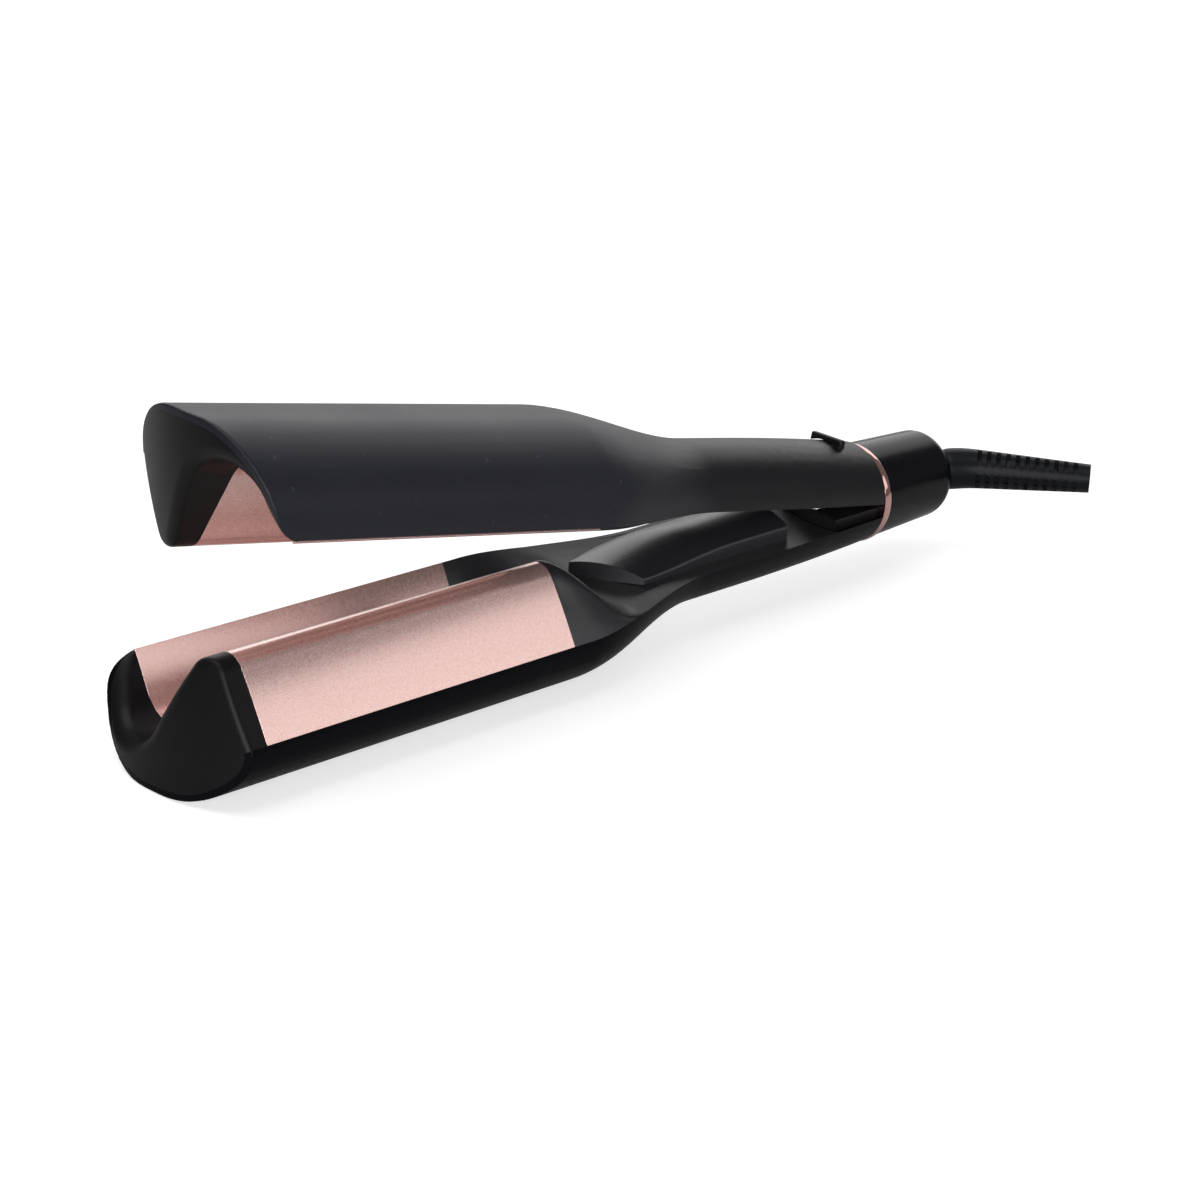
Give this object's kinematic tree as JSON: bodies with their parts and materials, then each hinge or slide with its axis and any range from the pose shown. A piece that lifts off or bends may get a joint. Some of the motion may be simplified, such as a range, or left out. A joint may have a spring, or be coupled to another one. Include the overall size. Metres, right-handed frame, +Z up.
{
  "type": "hair waver",
  "caption": "Two-arm hair waver with S-shaped nesting heated plates, sprung hinge in a ring, slide switch and swivelling strain relief.",
  "frame": {"origin": "under the middle of the assembly's box, on the surface it lies on", "axes": "+X along the lower arm from tip to cord, +Y away from the side with the plate's near flank, +Z up, arms open"},
  "size_m": [0.3692, 0.081, 0.1063],
  "materials": {
    "shell_black": "soft-touch coated, satin",
    "cap_black": "fine matte moulded plastic",
    "cover_black": "fine matte moulded plastic",
    "plate_rose": "ceramic coating, rose gold with fine sparkle",
    "ring_rose": "polished rose-gold plating",
    "relief_black": "satin flexible moulding",
    "frame_black": "glass-filled plastic",
    "steel": "bright zinc plated",
    "spring_steel": "drawn wire",
    "bronze": "sintered bronze",
    "ceramic_white": "glazed ceramic heater body",
    "mica_tan": "mica sheet",
    "board_green": "solder-masked board",
    "sensor_glass": "glazed bead"
  },
  "bodies": {
    "lower_arm": {"lower_shell": "shell_black", "lower_end_cap": "cap_black", "lower_plate": "plate_rose", "lower_inner_cover": "cover_black", "lower_heater": "ceramic_white", "lower_mica": "mica_tan", "lower_clamp": "steel", "lower_clamp_screws": "steel", "thermistor": "sensor_glass", "hinge_frame": "frame_black", "hinge_pin": "steel", "opening_spring": "spring_steel", "accent_ring": "ring_rose", "rear_cap": "shell_black", "swivel_retainer": "frame_black"},
    "upper_arm": {"upper_shell": "shell_black", "upper_end_cap": "cap_black", "upper_plate": "plate_rose", "upper_inner_cover": "cover_black", "upper_heater": "ceramic_white", "upper_mica": "mica_tan", "upper_clamp": "steel", "upper_clamp_screws": "steel", "thermal_fuse": "steel", "hinge_lug": "frame_black", "hinge_bushes": "bronze", "lug_screws": "steel", "control_board": "board_green", "board_screws": "steel", "switch_body": "frame_black"},
    "slider": {"switch_slider": "cap_black"},
    "swivel_carrier": {"swivel_cage": "frame_black"},
    "cord_relief": {"swivel_ball": "cap_black", "strain_relief": "relief_black"}
  },
  "joints": [
    {"name": "arm_hinge", "type": "hinge", "parent": "lower_arm", "child": "upper_arm", "pos_m": [0.10931, 0.00742, 0.02697], "axis": [0, -1, 0], "range_deg": [0, 10.6], "stiffness_Nm_per_rad": 1.2, "springref_deg": -40.11, "deforming": ["opening_spring"]},
    {"name": "switch_slide", "type": "slide", "parent": "upper_arm", "child": "slider", "axis": [0.9837, 0, -0.18], "range_m": [0, 0.006]},
    {"name": "cord_spin", "type": "hinge", "parent": "lower_arm", "child": "swivel_carrier", "pos_m": [0.14146, 0.00742, 0.02737], "axis": [1, 0, 0], "continuous": true},
    {"name": "cord_tilt", "type": "hinge", "parent": "swivel_carrier", "child": "cord_relief", "pos_m": [0.14146, 0.00742, 0.02737], "axis": [0, 0.2079, 0.9781], "range_deg": [0, 66]}
  ]
}
